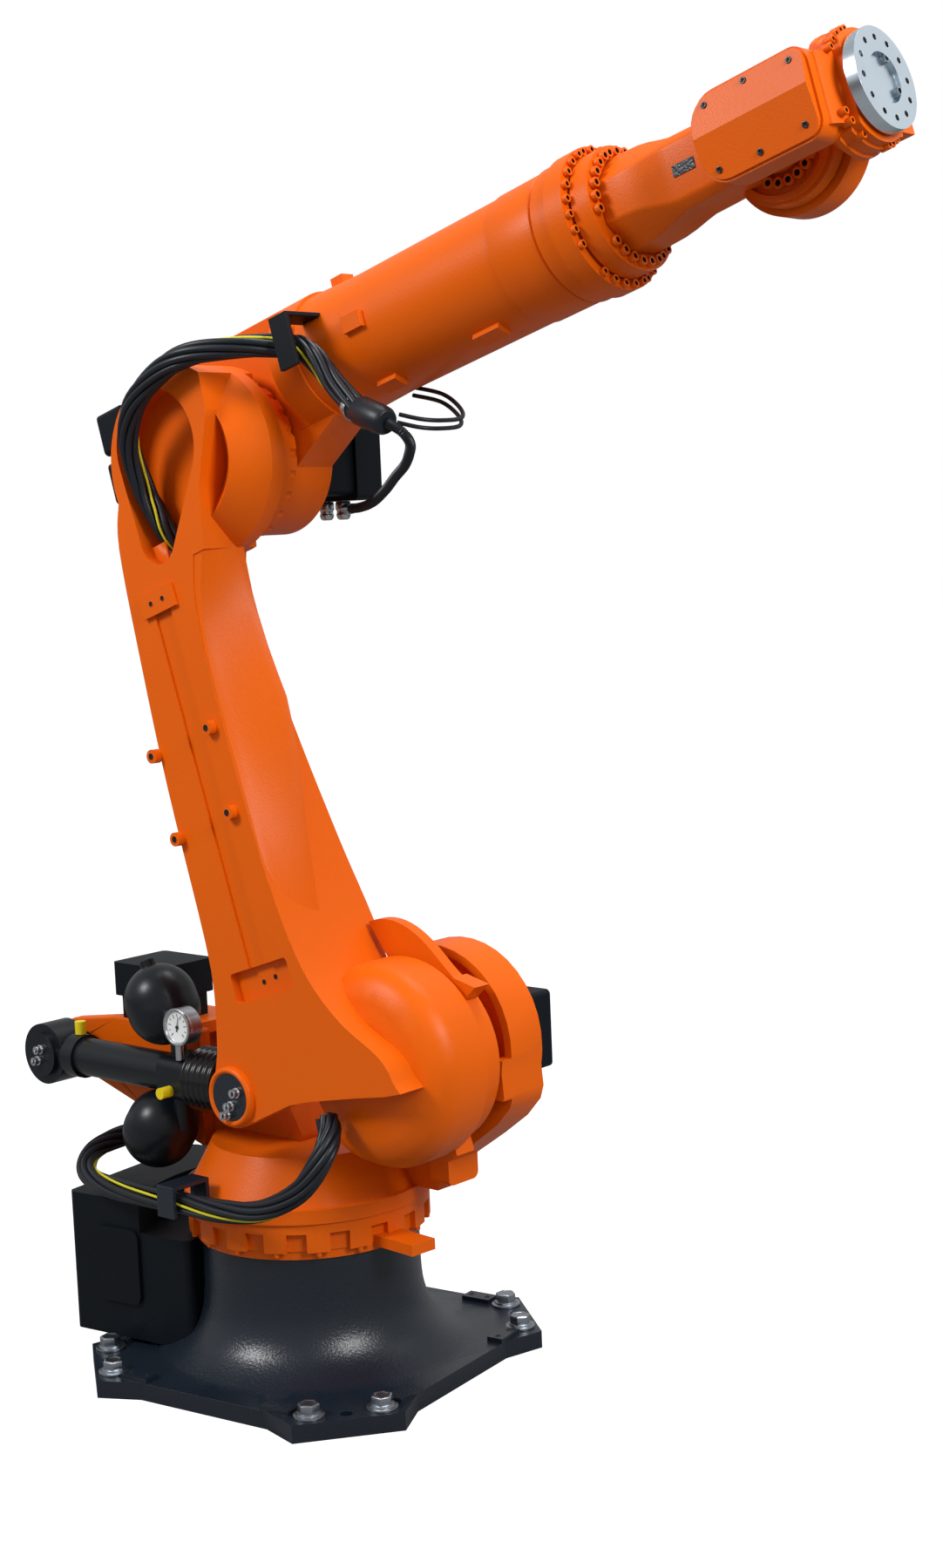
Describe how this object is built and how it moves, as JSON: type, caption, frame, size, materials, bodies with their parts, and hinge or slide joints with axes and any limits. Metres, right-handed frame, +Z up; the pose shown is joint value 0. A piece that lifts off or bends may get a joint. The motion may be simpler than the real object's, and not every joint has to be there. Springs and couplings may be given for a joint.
{
  "type": "industrial robot arm",
  "caption": "Articulated industrial robot arm on a flared bolted foot, with a turning column, counterbalanced link arm, pitched upper arm, slim forearm, wrist and drilled tool flange.",
  "frame": {"origin": "on the column's turning axis at the level of the floor, in the middle of the foot's underside", "axes": "+Z up along the column axis, +X away from the connection box, +Y to the left seen from behind"},
  "size_m": [1.9818, 0.754, 2.3114],
  "materials": {
    "orange_paint": "lightly textured satin orange enamel on castings",
    "black_paint": "satin black enamel on castings and steel",
    "black_plastic": "matt black motor covers and panels",
    "black_rubber": "black cable jackets and bellows",
    "bright_steel": "turned bright steel",
    "yellow_plastic": "yellow valve caps"
  },
  "bodies": {
    "base": {"foot_casting": "black_paint", "connection_box": "black_paint", "connection_panel": "black_plastic"},
    "column": {"column_ring": "orange_paint", "rotating_column": "orange_paint", "rear_bracket": "orange_paint", "column_motor": "black_plastic", "shoulder_motor": "black_plastic", "cable_arm": "black_paint", "shoulder_cables": "black_rubber"},
    "counterbalance": {"counterbalance_barrel": "black_paint", "accumulators": "black_paint", "pressure_gauge": "bright_steel", "valve_caps": "yellow_plastic", "counterbalance_bellows": "black_rubber"},
    "rod": {"piston_rod": "bright_steel"},
    "link": {"link_arm": "orange_paint", "shoulder_fin": "orange_paint", "pin_cover": "black_paint", "elbow_ring": "orange_paint"},
    "arm": {"arm_housing": "orange_paint", "arm_tube": "orange_paint", "end_flange": "orange_paint", "elbow_motor": "black_plastic", "motor_connectors": "bright_steel", "rear_motors": "black_plastic", "cable_bracket": "black_paint", "cable_splitter": "black_plastic", "elbow_cables": "black_rubber", "elbow_hose": "black_rubber", "sensor_cables": "black_rubber"},
    "forearm": {"forearm_flange": "orange_paint", "forearm": "orange_paint", "wrist_disc": "orange_paint", "label_plate": "black_paint"},
    "hand": {"hand_housing": "orange_paint", "hand_cover": "orange_paint", "hand_gear_housing": "orange_paint"},
    "flange": {"tool_flange": "bright_steel"}
  },
  "joints": [
    {"name": "column_turn", "type": "hinge", "parent": "base", "child": "column", "pos_m": [0, 0, 0], "axis": [0, 0, 1], "range_deg": [-177.4, 192.6]},
    {"name": "shoulder", "type": "hinge", "parent": "column", "child": "link", "pos_m": [0.3271, -0.04365, 0.645], "axis": [0.1323, 0.9912, 0], "range_deg": [-32.3, 102.7], "deforming": ["shoulder_cables"]},
    {"name": "elbow", "type": "hinge", "parent": "link", "child": "arm", "pos_m": [-0.01947, 0.0026, 1.74056], "axis": [-0.1323, -0.9912, 0], "range_deg": [-62.7, 212.3], "deforming": ["elbow_cables"]},
    {"name": "forearm_roll", "type": "hinge", "parent": "arm", "child": "forearm", "pos_m": [0.81033, -0.10812, 2.09043], "axis": [0.9556, -0.1275, 0.2656], "range_deg": [-350, 350]},
    {"name": "wrist_bend", "type": "hinge", "parent": "forearm", "child": "hand", "pos_m": [1.11613, -0.14892, 2.17541], "axis": [0.1323, 0.9912, 0], "range_deg": [-125, 125]},
    {"name": "flange_roll", "type": "hinge", "parent": "hand", "child": "flange", "pos_m": [1.32159, -0.17634, 2.23251], "axis": [0.9556, -0.1275, 0.2656], "range_deg": [-350, 350]},
    {"name": "counterbalance_swing", "type": "hinge", "parent": "column", "child": "counterbalance", "pos_m": [-0.57062, -0.08024, 0.572], "axis": [-0.1323, -0.9912, 0], "range_deg": [-8.6, 27]},
    {"name": "rod_stroke", "type": "slide", "parent": "counterbalance", "child": "rod", "axis": [0.9912, -0.1323, 0], "range_m": [-0.085, 0.268], "deforming": ["counterbalance_bellows"]}
  ],
  "couplings": [
    {"joint": "counterbalance_swing", "follows": "shoulder", "ratio": 0.26},
    {"joint": "rod_stroke", "follows": "shoulder", "m_per_rad": 0.149}
  ]
}
